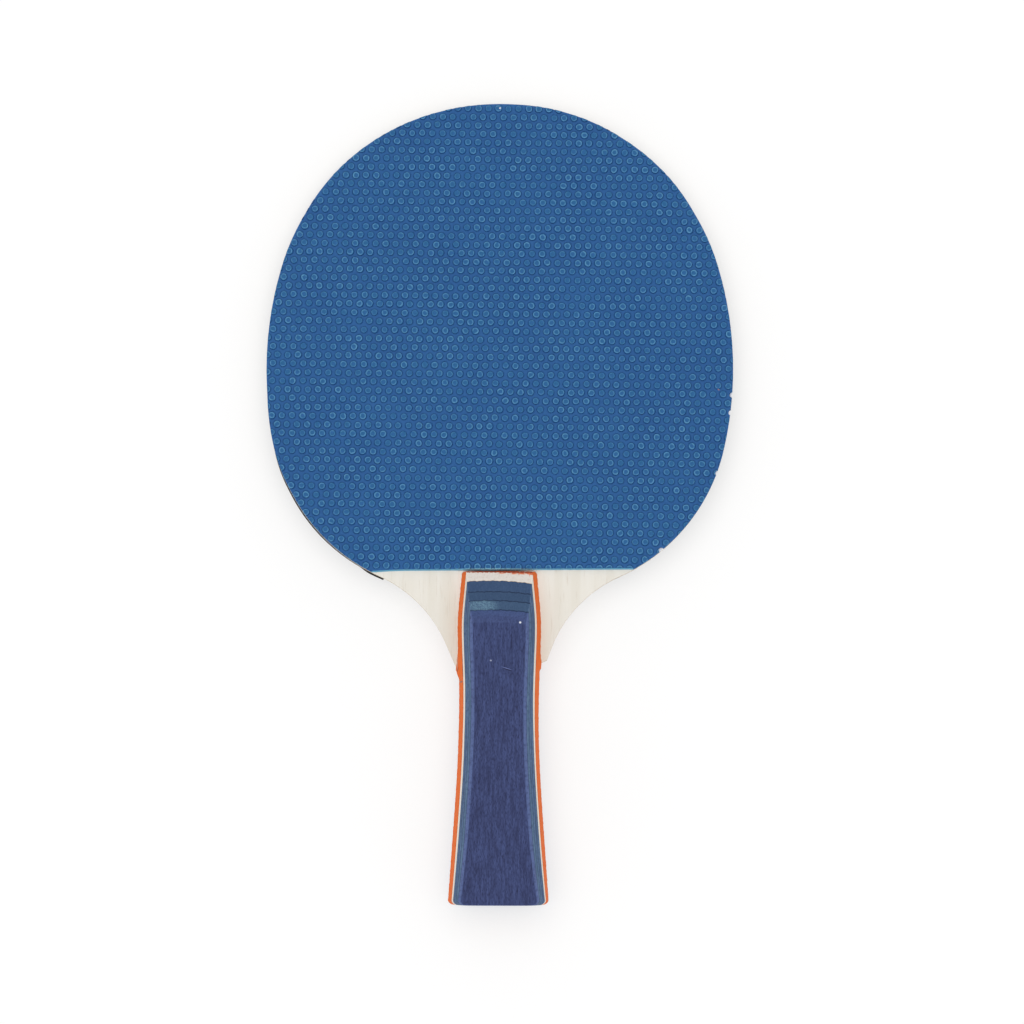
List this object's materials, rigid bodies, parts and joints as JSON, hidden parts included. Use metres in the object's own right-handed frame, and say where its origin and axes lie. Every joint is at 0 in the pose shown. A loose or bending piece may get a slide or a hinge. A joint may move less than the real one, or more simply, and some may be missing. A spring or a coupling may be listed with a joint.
{
  "type": "table tennis bat",
  "caption": "Table tennis bat with a round head, pimpled rubber sheets on both faces, a plywood blade and a flared laminated handle",
  "frame": {"origin": "the middle of the whole bat: on the centreline, halfway along its length, at the middle of the blade's thickness", "axes": "+Y runs along the bat to the tip of the head, +Z is the outward normal of the front (blue) face, +X completes a right-handed frame to the right of the head"},
  "size_m": [0.15, 0.2578, 0.0224],
  "materials": {
    "blade_wood": "fine sanded pale veneer, bare",
    "blue_rubber": "matt moulded pimples with paler worn tips",
    "black_rubber": "matt moulded pimples",
    "orange_wood": "dyed veneer, sanded satin",
    "cream_wood": "natural veneer, sanded satin",
    "blue_wood": "dyed veneer, sanded satin",
    "navy_wood": "dyed veneer with fine dark pores, satin"
  },
  "bodies": {
    "root": {"blade_core": "blade_wood", "front_cross_ply": "blade_wood", "front_face_ply": "blade_wood", "rear_cross_ply": "blade_wood", "rear_face_ply": "blade_wood", "front_rubber": "blue_rubber", "rear_rubber": "black_rubber", "front_orange_ply": "orange_wood", "front_cream_ply": "cream_wood", "front_blue_ply_lower": "blue_wood", "front_blue_ply_middle": "blue_wood", "front_blue_ply_upper": "blue_wood", "front_navy_ply": "navy_wood", "rear_orange_ply": "orange_wood", "rear_cream_ply": "cream_wood", "rear_blue_ply_lower": "blue_wood", "rear_blue_ply_middle": "blue_wood", "rear_blue_ply_upper": "blue_wood", "rear_navy_ply": "navy_wood"}
  },
  "joints": []
}
